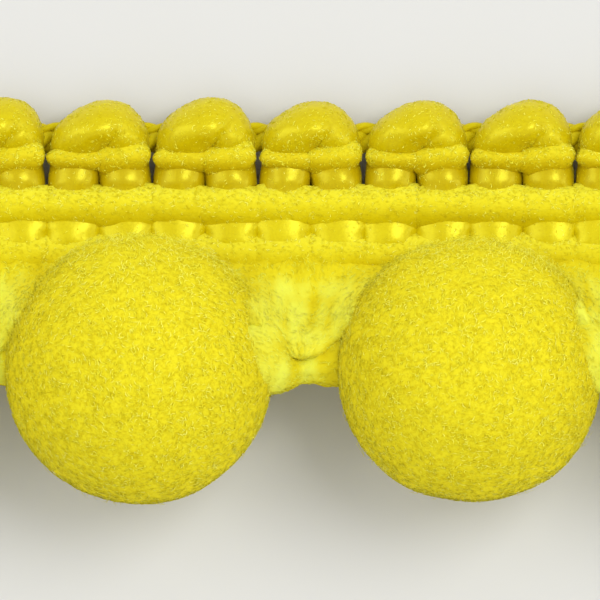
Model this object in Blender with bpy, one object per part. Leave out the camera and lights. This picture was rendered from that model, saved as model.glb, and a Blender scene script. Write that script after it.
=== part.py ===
"""A cut length of pompom fringe trim, lying on its back with its good side up.

A crocheted gimp heading runs along X: pairs of thick weft yarn columns turn over into a
scallop at the top edge, and three rows of chain stitch cross them. Between each two pompoms
a fan of the same yarn hangs from the heading and closes to a point over a soft link of
roving, which runs into the pompoms' sides. Each pompom is a core that carries short dense
locks of cut pile. Metres, +Z up, with the origin on the heading's flat back, at mid length.
"""

import math

import bmesh
import bpy
from mathutils import Quaternion, Vector

MM = 0.001

# The repeat of the trim: two weft columns turn over into one scallop, three scallops a pompom.
COLUMN_PITCH = 2.02 * MM
SCALLOP_PITCH = 2 * COLUMN_PITCH
POMPOM_PITCH = 3 * SCALLOP_PITCH
POMPOM_COUNT = 4
SCALLOP_COUNT = 3 * POMPOM_COUNT + 1
HEADING_HALF_LENGTH = SCALLOP_COUNT * SCALLOP_PITCH / 2
CLEARANCE = 0.32 * MM

# Each column of stitches is sampled at these shares of its pitch.
COLUMN_STATIONS = (0.0, 0.10, 0.30, 0.50, 0.70, 0.90)

# The heading's front from its lower edge up: height on the weft ribs, height between the
# ribs, and how much of the notch between two scallops reaches this row.
FRONT_COLUMNS = ("y", "on_rib", "between_ribs", "notch")
FRONT_ROWS = (
    (-2.45, 1.44, 1.25, 0.0),
    (-2.10, 1.80, 1.55, 0.0),
    (-1.60, 1.62, 1.00, 0.0),
    (-1.25, 1.66, 0.80, 0.0),
    (-0.92, 2.08, 1.75, 0.0),
    (-0.38, 2.38, 2.15, 0.0),
    (0.12, 2.08, 1.65, 0.2),
    (0.42, 1.62, 0.80, 0.3),
    (0.78, 1.66, 0.75, 0.4),
    (1.10, 2.12, 1.60, 0.9),
    (1.58, 2.05, 1.50, 1.0),
    (1.92, 1.50, 1.10, 0.6),
)
NOTCH_DEPTH = 0.75 * MM
NOTCH_HALF_WIDTH = 0.45 * MM

# The heading's back from its upper edge down: flat on the table, then up under the lower
# edge, which lies over the tops of the fans.
BACK_COLUMNS = ("y", "z")
BACK_ROWS = (
    (1.90, 0.0),
    (-1.85, 0.0),
    (-1.95, 0.85),
    (-2.42, 0.88),
)

# The scallop is a roll of weft yarn: a long rise, a crest right of the middle, a steep end.
SCALLOP_FOOT_Y = 2.73 * MM
SCALLOP_HEIGHT = 1.02 * MM
SCALLOP_CREST = 0.56
SCALLOP_RISE = 0.50
SCALLOP_FALL = 0.38
RISE_POWER = 1.6
FALL_POWER = 2.8
ROLL_RADIUS = 0.85 * MM
THREAD_RADIUS = 0.20 * MM
ROLL_AXIS_Z = 1.15 * MM
ROLL_ANGLES = (-60, 0, 45, 90, 135, 180)

# One row for each pompom: radius, lean along the trim, height of its centre, turn.
POMPOM_COLUMNS = ("radius", "lean", "centre_y", "turn_deg")
POMPOMS = (
    (4.98, -0.36, -6.58, 20.0),
    (5.04, -0.52, -6.58, 75.0),
    (5.00, -0.14, -6.62, 130.0),
    (5.02, -0.30, -6.56, 200.0),
)
SPIN_AXIS = (1, 2, 1)
FLAT_SPOT_DEPTH = 0.14 * MM
CORE_SHARE = 0.70
LOCK_ROOT_SHARE = 0.94
LOCK_TIP_SHARE = 0.895

# Slow waves over the ball: each pompom's soft lumps, with its share of the turn, and the
# small way that each lock's corners stray.
LUMP = 0.05 * MM
LUMP_WAVES = ((Vector((3, 2, 0)), 1), (Vector((-3, 0, 4)), 2))
LOCK_STRAY = 0.07
STRAY_WAVES = (Vector((0, 7, 4)), Vector((5, 0, 6)), Vector((8, -5, 0)))

# The links enter each pompom through a hollow on its right and one on its left: azimuth and
# elevation of the hollow's axis, its angular radius, and its depth as a share of the radius.
HOLLOW_COLUMNS = ("azimuth", "elevation", "spread", "depth")
HOLLOWS = (
    (5.0, 5.0, 42.0, 0.29),
    (177.0, -13.0, 36.0, 0.28),
)
HOLLOW_WALL = 1.25

# The fan of yarn, from the heading down: y, middle z, half thickness and greatest half width.
FAN_COLUMNS = ("y", "z", "half_thickness", "half_width")
FAN_ROWS = (
    (-2.21, 0.25, 0.19, 2.35),
    (-2.64, 0.26, 0.20, 2.50),
    (-2.94, 0.60, 0.36, 2.50),
    (-3.40, 1.00, 0.58, 2.45),
    (-4.05, 1.65, 0.66, 2.30),
    (-4.70, 2.45, 0.68, 2.05),
    (-5.25, 3.35, 0.66, 1.75),
    (-5.70, 4.15, 0.62, 1.40),
    (-6.10, 4.85, 0.56, 0.90),
    (-6.40, 5.22, 0.44, 0.50),
    (-6.56, 5.20, 0.24, 0.20),
)
FAN_STRANDS = 6
FAN_RIDGE = 0.30 * MM
RIDGE_OF_THICKNESS = 0.42
RIDGE_OF_WIDTH = 0.25
FAN_ROUNDNESS = 0.7
FAN_BACK_POINTS = (0.6, 0.0, -0.6)
FAN_LEAN = -0.30 * MM
HOLLOW_ROOM = 0.12 * MM

# The link of roving: share of the way from the pinch to its end inside a pompom, y, z, half
# height and half thickness.
LINK_COLUMNS = ("share", "y", "z", "half_height", "half_thickness")
LINK_LEFT = (
    (-1.0, -6.36, 5.10, 0.84, 0.55),
    (-0.82, -6.44, 5.08, 1.08, 0.68),
    (-0.58, -6.60, 5.00, 1.04, 0.76),
    (-0.30, -6.72, 4.82, 0.76, 0.70),
)
LINK_PINCH = ((0.0, -6.70, 4.55, 0.46, 0.55),)
LINK_RIGHT = (
    (0.27, -6.58, 4.32, 0.64, 0.66),
    (0.52, -6.38, 4.08, 0.86, 0.72),
    (0.76, -6.32, 3.90, 0.84, 0.64),
    (1.0, -6.34, 3.80, 0.64, 0.50),
)
LINK_END_SHARE = 0.82
STUB_REACH = 2.05 * MM
LINK_SIDES = 10
CUT_STUB_ROWS = 2

HEADING_COLOUR = (0.78, 0.62, 0.02, 1.0)
PILE_COLOUR = (0.82, 0.70, 0.03, 1.0)
LOOP_COLOUR = (0.84, 0.74, 0.04, 1.0)


def named(columns, rows):
    """Rows of a table as dictionaries."""
    return [dict(zip(columns, row)) for row in rows]


def clear_scene():
    for obj in list(bpy.data.objects):
        bpy.data.objects.remove(obj, do_unlink=True)


def fabric(name, colour):
    material = bpy.data.materials.new(name)
    material.use_nodes = True
    shader = material.node_tree.nodes["Principled BSDF"]
    shader.inputs["Base Color"].default_value = colour
    shader.inputs["Roughness"].default_value = 0.85
    shader.inputs["Metallic"].default_value = 0.0
    material.diffuse_color = colour
    return material


def add_object(name, points, faces, material, location=(0, 0, 0), sharp_deg=50):
    """A mesh object with its faces facing out."""
    mesh = bpy.data.meshes.new(name)
    mesh.from_pydata([tuple(p) for p in points], [], faces)
    work = bmesh.new()
    work.from_mesh(mesh)
    bmesh.ops.recalc_face_normals(work, faces=work.faces)
    work.to_mesh(mesh)
    work.free()
    mesh.shade_smooth()
    mesh.set_sharp_from_angle(angle=math.radians(sharp_deg))
    obj = bpy.data.objects.new(name, mesh)
    obj.location = location
    obj.data.materials.append(material)
    bpy.context.scene.collection.objects.link(obj)
    return obj


def loft(sections):
    """Points and faces of a closed skin over sections that all have the same number of points."""
    sides = len(sections[0])
    points = [p for section in sections for p in section]
    faces = []
    for i in range(len(sections) - 1):
        for k in range(sides):
            after = (k + 1) % sides
            near = i * sides
            far = near + sides
            faces.append((near + k, near + after, far + after, far + k))
    faces.append(tuple(range(sides)))
    faces.append(tuple(range(len(points) - sides, len(points))))
    return points, faces


def smooth_step(t):
    t = max(0.0, min(1.0, t))
    return t * t * (3 - 2 * t)


def scallop_arch(share):
    """Height of the scallop, 0 to 1, at a share of its pitch."""
    if share < SCALLOP_CREST:
        away = (SCALLOP_CREST - share) / SCALLOP_RISE
        power = RISE_POWER
    else:
        away = (share - SCALLOP_CREST) / SCALLOP_FALL
        power = FALL_POWER
    return max(0.0, 1 - away**power)


def heading_section(x):
    """The heading cut across at x: from its lower edge up the front, round the roll and back."""
    columns = x / COLUMN_PITCH + SCALLOP_COUNT
    rib = math.sqrt(abs(math.sin(math.pi * columns)))
    share = (columns / 2) % 1.0
    to_notch = min(share, 1 - share) * SCALLOP_PITCH
    notch = NOTCH_DEPTH * (1 - smooth_step(to_notch / NOTCH_HALF_WIDTH))
    section = []
    for row in named(FRONT_COLUMNS, FRONT_ROWS):
        height = row["between_ribs"] + (row["on_rib"] - row["between_ribs"]) * rib
        section.append(Vector((x, row["y"] * MM, height * MM - notch * row["notch"])))
    arch = scallop_arch(share)
    radius = THREAD_RADIUS + (ROLL_RADIUS - THREAD_RADIUS) * math.sqrt(arch)
    axis_y = SCALLOP_FOOT_Y + SCALLOP_HEIGHT * arch - radius
    for degrees in ROLL_ANGLES:
        angle = math.radians(degrees)
        y = axis_y + radius * math.sin(angle)
        z = ROLL_AXIS_Z + radius * math.cos(angle)
        section.append(Vector((x, y, z)))
    for row in named(BACK_COLUMNS, BACK_ROWS):
        section.append(Vector((x, row["y"] * MM, row["z"] * MM)))
    return section


def make_heading(material):
    stations = []
    for column in range(2 * SCALLOP_COUNT):
        for share in COLUMN_STATIONS:
            stations.append((column + share) * COLUMN_PITCH - HEADING_HALF_LENGTH)
    stations.append(HEADING_HALF_LENGTH)
    points, faces = loft([heading_section(x) for x in stations])
    return add_object("heading", points, faces, material)


def pompom_centre(row, index):
    x = (index - (POMPOM_COUNT - 1) / 2) * POMPOM_PITCH + row["lean"] * MM
    z = row["radius"] * MM - FLAT_SPOT_DEPTH
    return Vector((x, row["centre_y"] * MM, z))


def pompom_places():
    """Centre and radius of each pompom, from left to right."""
    rows = named(POMPOM_COLUMNS, POMPOMS)
    return [(pompom_centre(row, i), row["radius"] * MM) for i, row in enumerate(rows)]


def hollow_at(direction):
    """How deep the hollows for the links are in this direction, as a share of the radius."""
    depth = 0.0
    for hollow in named(HOLLOW_COLUMNS, HOLLOWS):
        azimuth = math.radians(hollow["azimuth"])
        elevation = math.radians(hollow["elevation"])
        level = math.cos(elevation)
        axis = Vector((level * math.cos(azimuth), level * math.sin(azimuth), math.sin(elevation)))
        away = math.degrees(direction.angle(axis))
        depth = max(depth, hollow["depth"] * smooth_step(HOLLOW_WALL * (1 - away / hollow["spread"])))
    return depth


def pile_reach(direction, radius, phase):
    """How far the pile reaches from the pompom's centre, with its soft lumps and hollows."""
    lumps = sum(math.sin(wave.dot(direction) + turns * phase) for wave, turns in LUMP_WAVES)
    return radius * (1 - hollow_at(direction)) + LUMP * lumps / len(LUMP_WAVES)


def stray(direction):
    """A direction moved a little aside, so that no two locks are quite alike."""
    push = Vector([math.sin(wave.dot(direction) + i) for i, wave in enumerate(STRAY_WAVES)])
    return (direction + LOCK_STRAY * push).normalized()


def ball_quads():
    """Sixty quads on a unit ball: each face of an icosahedron cut in three."""
    work = bmesh.new()
    bmesh.ops.create_icosphere(work, subdivisions=1, radius=1.0)
    directions = [v.co.normalized() for v in work.verts]
    middle_of_edge = {}
    for edge in work.edges:
        middle_of_edge[edge.index] = len(directions)
        directions.append(((edge.verts[0].co + edge.verts[1].co) / 2).normalized())
    quads = []
    for face in work.faces:
        centre = len(directions)
        directions.append(face.calc_center_median().normalized())
        for loop in face.loops:
            after = middle_of_edge[loop.edge.index]
            before = middle_of_edge[loop.link_loop_prev.edge.index]
            quads.append((loop.vert.index, after, centre, before))
    work.free()
    return directions, quads


def make_pompom(name, centre, radius, turn_deg, material):
    """A core with sixty short locks standing on it, apart but for their roots."""
    directions, quads = ball_quads()
    phase = math.radians(turn_deg)
    spin = Quaternion(SPIN_AXIS, phase)
    directions = [stray(spin @ d) for d in directions]
    first = sum((directions[i] for i in quads[0]), Vector()).normalized()
    lay_on_lock = first.rotation_difference(Vector((0, 0, -1)))
    directions = [lay_on_lock @ d for d in directions]

    def placed(direction, share):
        """A point of the pile, drawn in where the table would flatten it."""
        reach = pile_reach(direction, radius, phase) * share
        if centre.z + reach * direction.z < 0:
            reach = -centre.z / direction.z
        return direction * reach

    points = [placed(d, CORE_SHARE) for d in directions]
    faces = []
    for quad in quads:
        middle = sum((directions[i] for i in quad), Vector()).normalized()
        root = [middle.lerp(directions[i], LOCK_ROOT_SHARE).normalized() for i in quad]
        tip = [middle.lerp(directions[i], LOCK_TIP_SHARE).normalized() for i in quad]
        side = [(tip[k] + tip[(k + 1) % 4]).normalized() for k in range(4)]
        root_at = len(points)
        points += [placed(d, CORE_SHARE) for d in root]
        tip_at = len(points)
        points += [placed(d, 1.0) for d in tip]
        side_at = len(points)
        points += [placed(d, 1.0) for d in side]
        top = len(points)
        points.append(placed(middle, 1.0))
        for k in range(4):
            after = (k + 1) % 4
            faces.append((quad[k], quad[after], root_at + after, root_at + k))
            faces.append((root_at + k, root_at + after, side_at + k))
            faces.append((root_at + k, side_at + k, tip_at + k))
            faces.append((root_at + after, tip_at + after, side_at + k))
            faces.append((tip_at + k, side_at + k, top))
            faces.append((side_at + k, tip_at + after, top))
    return add_object(name, points, faces, material, location=centre)


def free_half_width(side, gap_x, y, z, places):
    """How far a fan may reach to one side of gap_x: to a pompom, or to the trim's cut end."""
    free = HEADING_HALF_LENGTH - gap_x * side
    for centre, radius in places:
        if (centre.x - gap_x) * side <= 0:
            continue
        reach = radius + CLEARANCE + LUMP
        rest = reach**2 - (centre.y - y) ** 2 - (centre.z - z) ** 2
        if rest > 0:
            free = min(free, abs(centre.x - gap_x) - math.sqrt(rest) + HOLLOW_ROOM)
    return free


def fan_section(row, gap_x, places):
    """One ridged section of the fan, across its strands."""
    y = row["y"] * MM
    z = row["z"] * MM
    thick = row["half_thickness"] * MM
    widest = row["half_width"] * MM
    left = min(widest, free_half_width(-1, gap_x, y, z, places))
    right = min(widest, free_half_width(1, gap_x, y, z, places))
    middle_x = gap_x + (right - left) / 2
    half = (left + right) / 2
    ridge = min(FAN_RIDGE, RIDGE_OF_THICKNESS * thick, RIDGE_OF_WIDTH * half)
    section = []
    front_points = 2 * FAN_STRANDS + 1
    for k in range(front_points):
        across = -1 + 2 * k / (front_points - 1)
        rounding = math.sqrt(max(0.0, 1 - across**2)) ** FAN_ROUNDNESS
        raised = ridge if k % 2 else 0.0
        height = z + (thick + raised) * rounding
        section.append(Vector((middle_x + across * half, y, height)))
    for across in FAN_BACK_POINTS:
        rounding = math.sqrt(1 - across**2)
        section.append(Vector((middle_x + across * half, y, z - thick * rounding)))
    return section


def link_reach(side, gap_x, places):
    """How far the link goes to one side: into the next pompom, or as far as it is cut."""
    nearest = STUB_REACH
    for centre, radius in places:
        away = (centre.x - gap_x) * side
        if 0 < away < POMPOM_PITCH:
            nearest = away - LINK_END_SHARE * radius
    return nearest


def link_section(row, gap_x, places):
    side = math.copysign(1, row["share"])
    reach = link_reach(side, gap_x, places)
    centre = Vector((gap_x + abs(row["share"]) * side * reach, row["y"] * MM, row["z"] * MM))
    section = []
    for k in range(LINK_SIDES):
        angle = 2 * math.pi * k / LINK_SIDES
        tall = row["half_height"] * MM * math.sin(angle)
        thick = row["half_thickness"] * MM * math.cos(angle)
        section.append(centre + Vector((0, tall, thick)))
    return section


def make_hanger(name, gap, places, material):
    """The fan of yarn in one gap and the link of roving that it holds, as one solid.

    Past the first and the last pompom the link ends in a short cut stub.
    """
    gap_x = (gap - POMPOM_COUNT / 2) * POMPOM_PITCH + FAN_LEAN
    fan_rows = named(FAN_COLUMNS, FAN_ROWS)
    points, faces = loft([fan_section(row, gap_x, places) for row in fan_rows])
    fan = add_object(name, points, faces, material)
    left_rows = LINK_LEFT if gap > 0 else LINK_LEFT[-CUT_STUB_ROWS:]
    right_rows = LINK_RIGHT if gap < POMPOM_COUNT else LINK_RIGHT[:CUT_STUB_ROWS]
    link_rows = named(LINK_COLUMNS, left_rows + LINK_PINCH + right_rows)
    points, faces = loft([link_section(row, gap_x, places) for row in link_rows])
    link = add_object(name + "_link", points, faces, material)
    link.hide_render = True
    link.display_type = "WIRE"
    union = fan.modifiers.new("link", "BOOLEAN")
    union.operation = "UNION"
    union.solver = "EXACT"
    union.object = link
    return fan


def main():
    clear_scene()
    heading_yarn = fabric("heading_yarn", HEADING_COLOUR)
    pile_yarn = fabric("pile_yarn", PILE_COLOUR)
    loop_yarn = fabric("loop_yarn", LOOP_COLOUR)
    make_heading(heading_yarn)
    places = pompom_places()
    for i, row in enumerate(named(POMPOM_COLUMNS, POMPOMS)):
        make_pompom(f"pompom_{i + 1}", *places[i], row["turn_deg"], pile_yarn)
    for gap in range(POMPOM_COUNT + 1):
        make_hanger(f"hanger_{gap + 1}", gap, places, loop_yarn)


main()
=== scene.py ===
"""Dresses the pompom fringe trim: wefts, chain stitches, brushed fans of yarn and cut pile.

Metres in the row frame: X along the trim, +Y towards the scallops, +Z out of the front.
Every yarn is a swept form, and its fibres are short bent spindles that lie on that form.
"""

import math
from functools import partial

import bpy
import numpy as np
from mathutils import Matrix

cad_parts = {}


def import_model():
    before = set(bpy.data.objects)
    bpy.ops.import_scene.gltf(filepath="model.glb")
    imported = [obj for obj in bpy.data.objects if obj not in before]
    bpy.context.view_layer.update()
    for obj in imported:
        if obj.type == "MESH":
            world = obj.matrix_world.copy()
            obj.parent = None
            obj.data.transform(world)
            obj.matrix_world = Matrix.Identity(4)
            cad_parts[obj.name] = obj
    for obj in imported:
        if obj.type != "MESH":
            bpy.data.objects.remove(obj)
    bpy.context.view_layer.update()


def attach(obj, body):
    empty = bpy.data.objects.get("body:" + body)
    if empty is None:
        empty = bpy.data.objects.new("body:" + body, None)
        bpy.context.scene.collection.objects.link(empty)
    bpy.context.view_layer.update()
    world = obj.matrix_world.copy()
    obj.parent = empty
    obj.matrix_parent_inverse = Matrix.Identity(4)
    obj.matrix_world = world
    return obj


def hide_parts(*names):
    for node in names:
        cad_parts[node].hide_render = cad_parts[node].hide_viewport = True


MM = 0.001

# The repeat of the trim, as in the CAD source.
COLUMN_PITCH = 2.02 * MM
SCALLOP_PITCH = 2 * COLUMN_PITCH
POMPOM_PITCH = 3 * SCALLOP_PITCH
POMPOM_COUNT = 4
SCALLOP_COUNT = 3 * POMPOM_COUNT + 1
HALF_LENGTH = SCALLOP_COUNT * SCALLOP_PITCH / 2

# The photograph's frame: its middle on the trim, and the width it takes in; and a long lens.
PHOTO_CENTRE = (-0.41 * MM, -3.94 * MM, 4.0 * MM)
PHOTO_WIDTH = 22.73 * MM
LENS = 500.0
SENSOR = 36.0

# One weft: up the left column, over the scallop and down the right column. Both edges of the
# yarn across the scallop, the height of each and the half thickness. Stitches squeeze it flat,
# and it turns over on the spot where the two legs meet.
WEFT_COLUMNS = ("outer_x", "outer_y", "inner_x", "inner_y", "outer_z", "inner_z", "front")
WEFT_FOOT = (
    (0.15, -2.40, 1.87, -2.40, 0.85, 0.85, 0.35),
    (-0.26, -2.14, 2.28, -2.14, 0.90, 0.78, 0.90),
    (-0.34, -1.88, 2.36, -1.88, 0.96, 0.80, 1.04),
    (-0.16, -1.50, 2.18, -1.50, 0.96, 0.80, 1.06),
    (-0.34, -1.10, 2.36, -1.10, 0.96, 0.80, 1.00),
    (-0.28, -0.72, 2.30, -0.72, 0.92, 0.80, 0.95),
    (-0.14, -0.10, 2.16, -0.10, 0.84, 0.84, 0.98),
    (0.02, 0.26, 2.02, 0.26, 0.86, 0.86, 0.98),
    (0.05, 0.60, 2.03, 0.60, 0.88, 0.88, 1.04),
    (0.09, 1.00, 2.10, 1.00, 0.90, 0.90, 0.95),
)
WEFT_SCALLOP = (
    (0.17, 1.46, 2.14, 1.40, 1.00, 1.00, 0.80),
    (0.15, 1.90, 2.22, 1.62, 1.26, 1.24, 0.92),
    (0.24, 2.44, 2.26, 1.76, 1.36, 1.50, 0.98),
    (0.54, 2.93, 2.28, 1.84, 1.38, 1.74, 0.98),
    (1.00, 3.28, 2.30, 1.90, 1.38, 1.90, 0.96),
    (1.50, 3.56, 2.33, 1.94, 1.36, 2.00, 0.92),
    (2.05, 3.72, 2.36, 1.96, 1.34, 2.04, 0.88),
    (2.60, 3.71, 2.38, 1.97, 1.30, 2.04, 0.84),
    (3.06, 3.56, 2.36, 1.96, 1.26, 1.98, 0.78),
    (3.42, 3.28, 2.28, 1.94, 1.20, 1.86, 0.74),
    (3.68, 2.92, 2.16, 1.90, 1.16, 1.68, 0.76),
    (3.87, 2.48, 2.06, 1.84, 1.14, 1.44, 0.86),
    (3.94, 2.02, 1.98, 1.72, 1.06, 1.12, 0.90),
    (3.88, 1.60, 1.96, 1.52, 0.96, 0.96, 0.80),
    (3.90, 1.30, 2.00, 1.30, 0.90, 0.90, 0.80),
)
WEFT_RINGS = 96
WEFT_SIDES = 22
WEFT_FIBRES = 1150
WEFT_SEED = 21

# How round a weft is at some y; how pale it is at some y, which is painted light and shade:
# painted shade in the recess under the upper stitches, paler below and on the scallops; where
# its fold lies, how far around the fold painted shade darkens it, and how steeply it slopes down
# to the fold. Then its waves.
WEFT_ROUNDNESS = ((-0.5, 0.62), (0.5, 0.80), (2.5, 1.0))
WEFT_PAINTED_LIGHT = ((-2.0, 0.48), (-0.8, 0.44), (0.0, 0.05), (1.4, 0.0), (2.0, 0.24), (3.8, 0.34))
WEFT_FOLD = (2.15, 1.95)
FOLD_SHADE_REACH = 0.45
FOLD_SLOPE = 2.6
WEFT_WAVES = ((0.012, 5, 0.16), (0.008, 9, -0.10))

# Where the scallops begin and over what height they rise. Below, the edges of a weft lie this
# much looser or tighter; above, it leans aside and grows with these spreads.
SCALLOP_Y = 1.7
ARCH_START = 1.8
ARCH_RISE = 1.5
WEFT_SLACK = (0.45, 1.2)
ARCH_LEAN = 0.06
ARCH_GROWTH = 0.015

# Fibres on the wefts: how thickly they lie behind the middle height, and on the scallops.
WEFT_MIDDLE_Z = 0.9
WEFT_FUZZ_BEHIND = 0.12
WEFT_FUZZ_SCALLOP = 3.4

# The rows of chain stitch: middle, half height, middle z, half thickness, how softly it runs
# out above and below, how far each stitch draws in at its ends, how the right one of each pair
# is lifted, larger and tilted, how far the pair stays clear of the next pair, the fibres on each
# stitch, how far the row ends short of the cut, and its yarn. The last three are at the back.
# The deep yarn, on the first row and the three at the back, is the chain yarn in painted shade.
ROW_COLUMNS = (
    "y", "half", "z", "front", "swell", "pinch", "lift", "larger", "tilt_deg", "clear", "fibres",
    "short", "yarn"
)
STITCH_ROWS = (
    (1.46, 0.50, 1.58, 0.53, 1.7, 0.38, 0.08, 1.36, 7.0, 0.34, 290, 0.03, "deep"),
    (-0.34, 0.80, 1.60, 0.56, 2.0, 0.05, 0.00, 1.0, 2.0, 0.00, 320, 0.03, "chain"),
    (-2.18, 0.88, 1.50, 0.54, 2.0, 0.05, 0.00, 1.0, 1.0, 0.00, 270, 0.03, "chain"),
    (1.42, 0.44, 0.26, 0.26, 1.0, 0.30, 0.00, 1.0, 4.0, 0.36, 0, 0.15, "deep"),
    (-0.38, 0.60, 0.28, 0.28, 1.0, 0.30, 0.00, 1.0, -4.0, 0.00, 0, 0.15, "deep"),
    (-2.10, 0.36, 0.26, 0.26, 1.0, 0.30, 0.00, 1.0, 4.0, 0.00, 0, 0.15, "deep"),
)
STITCH_RINGS = 9
STITCH_SIDES = 16
STITCH_SEED = 31

# Each stitch: its length in columns, so that it laps over the next, the waves of its plies, how
# sharply it draws in at its ends, how far and how sharply it dips there, the left one's tilt as
# a share of the right one's, and how much stitches differ in place, height and depth.
STITCH_OVERLAP = 1.09
STITCH_WAVES = ((0.045, 4, 0.35), (0.025, 9, -0.6))
PINCH_POWER = 8
STITCH_DIP = 0.16
STITCH_DIP_POWER = 4
LEFT_TILT = -0.3
STITCH_STRAY = 0.02
STITCH_HEIGHTS = (0.96, 1.05)
STITCH_DEPTHS = (0.94, 1.06)

# How pale a row is at its middle, how fast that rises to its upper edge, and the most of it:
# painted light at the upper edge and painted shade at the lower one. Then how thickly fuzz lies
# at its lower edge, and how much more of it where the row is painted pale.
UPWARD_MIDDLE = 0.35
UPWARD_RISE = 0.5
UPWARD_MOST = 0.8
STITCH_FUZZ = 0.25
STITCH_FUZZ_ABOVE = 1.5

# The selvedge behind the scallops: y, z and radius of a thin chain and of the fuller one below.
# Its plies make so many half turns in a column, and their radius and distance from the middle
# are shares of the chain's radius.
THREAD_COLUMNS = ("y", "z", "radius")
THREADS = ((2.62, 0.70, 0.23), (2.10, 0.72, 0.44))
THREAD_RINGS = 400
THREAD_SHORT = 0.15 * MM
THREAD_SIDES = 6
THREAD_HALF_TURNS = 2.4
PLY_RADIUS = 0.62
PLY_DISTANCE = 0.45

# Pompoms: radius, lean along the trim, y of the centre, and the seed of the pile. Then how much
# of each the floor flattens, and how finely its core is divided.
POMPOM_COLUMNS = ("radius", "lean", "centre_y", "seed")
POMPOMS = (
    (4.98, -0.36, -6.58, 11),
    (5.09, -0.42, -6.56, 12),
    (5.00, -0.08, -6.62, 13),
    (5.02, -0.30, -6.56, 14),
)
FLAT_SPOT_DEPTH = 0.14 * MM
BALL_SUBDIVISIONS = 5

# The pile: its fibres of each kind, height and pitch of its lumps, the way its nap leans and how
# much it swirls, and how deep under its surface the core and the roots lie.
PILE_FIBRES = 15900
PILE_STRAYS = 300
PILE_BRUSHED = 1000
PILE_LUMPS = ((0.055, 1.6), (0.012, 0.20))
PILE_NAP = (0.9, 0.35, 0.0)
PILE_SWIRL = 2.2
CORE_DEPTH = 0.05 * MM
ROOT_DEPTH = 0.02 * MM

# The upper rim is brushed out: how many directions are tried for each fibre, from which share
# of the way up and how near which height they are kept, and how far all the pile on the upper
# half is shaded as if it stood up.
BRUSHED_TRIES = 12
BRUSHED_UP = 0.15
BRUSHED_LEVEL = 0.05
BRUSHED_NEAR = 0.35
PILE_FLUFF = 0.8

# Where a link parts the pile: azimuth and elevation, radius of the full depth, radius at the
# rim, and depth as a share of the pompom's radius.
HOLLOW_COLUMNS = ("azimuth", "elevation", "floor", "rim", "depth")
HOLLOWS = (
    (14.0, 9.0, 12.0, 22.0, 0.15),
    (177.0, -15.0, 9.0, 16.0, 0.16),
)

# The fan, from under the lowest stitches down: y, middle z, half thickness, half width. Then how
# far it sits beside the middle of its gap, its rings and sides, how round it is and its fibres.
FAN_COLUMNS = ("y", "z", "half_thickness", "half_width")
FAN_ROWS = (
    (-1.85, 0.70, 0.50, 3.20),
    (-2.20, 1.04, 0.88, 3.50),
    (-2.65, 1.10, 0.90, 3.70),
    (-3.40, 1.44, 0.92, 3.50),
    (-4.05, 1.95, 0.94, 2.95),
    (-4.70, 2.85, 0.96, 2.40),
    (-5.15, 3.60, 0.98, 1.85),
    (-5.52, 4.24, 0.98, 1.34),
    (-5.82, 4.66, 0.86, 0.98),
    (-6.04, 4.84, 0.66, 0.70),
    (-6.18, 4.80, 0.36, 0.36),
)
FAN_LEAN = -0.30 * MM
FAN_RINGS = 44
FAN_SIDES = 96
FAN_ROUNDNESS = 0.75
FAN_FIBRES = 4000
HANGER_SEED = 41

# The strands of the fan: how many, how deep their ridges are before and behind, the mean height
# that is taken off them, how far they sway and through what angle on the way down, and how many
# finer wisps go to a strand, how these sway against it and how high they are. The ridges grow
# over the first quarter of the fan and shrink again in its lip.
FAN_STRANDS = 8
FAN_RIDGES = (0.08, 0.22)
STRAND_MEAN = 0.6
STRAND_SWAY = 0.3
STRAND_TURN = 5
WISPS_TO_A_STRAND = 2.3
WISP_SWAY = -1.5
WISP_HEIGHT = 0.3
RIDGE_GROWTH = 4
RIDGE_END = 4
RIDGE_SHRINKAGE = 3.4

# Where the fan is drawn up the flank of a pompom: share of the pompom's half width at which it
# touches, how far out from there it rises, the y at which that starts, is full, eases and ends,
# and the share by which its back follows.
HUG_SHARE = 0.97
HUG_REACH = 1.9 * MM
HUG_Y = (-2.2 * MM, -4.3 * MM, -4.6 * MM, -6.4 * MM)
HUG_BEHIND = 0.6

# The painted light and shade of the hangers: between which y they turn from painted shade under
# the heading to pale, how pale that painted highlight is, and the pitch, depth and stretch of
# the streaks in it. Then from which x and y painted shade darkens them again at the lower right,
# and how far.
HANGER_PAINTED_SHADE_Y = (-2.3 * MM, -3.7 * MM)
HANGER_PAINTED_PALE = 0.64
STREAK_PITCH = 1.3 * MM
STREAK_DEPTH = 0.3
STREAK_STRETCH = (1.0, 0.35, 0.35)
SHADED_X = (0.5 * MM, 1.1 * MM)
SHADED_Y = (-4.9 * MM, -5.7 * MM)
SHADED_SHARE = 0.8

# The fibres of the hangers: how far they take their own tint and the painted light and shade of
# the felt, how far they are shaded as if they stood up, and how thickly they lie behind, below a
# height of the fan.
OWN_TINT = 0.45
FELT_TINT = 0.6
ROVING_FLUFF = 0.8
ROVING_BEHIND = 0.4
ROVING_BEHIND_Y = -3.2 * MM

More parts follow.
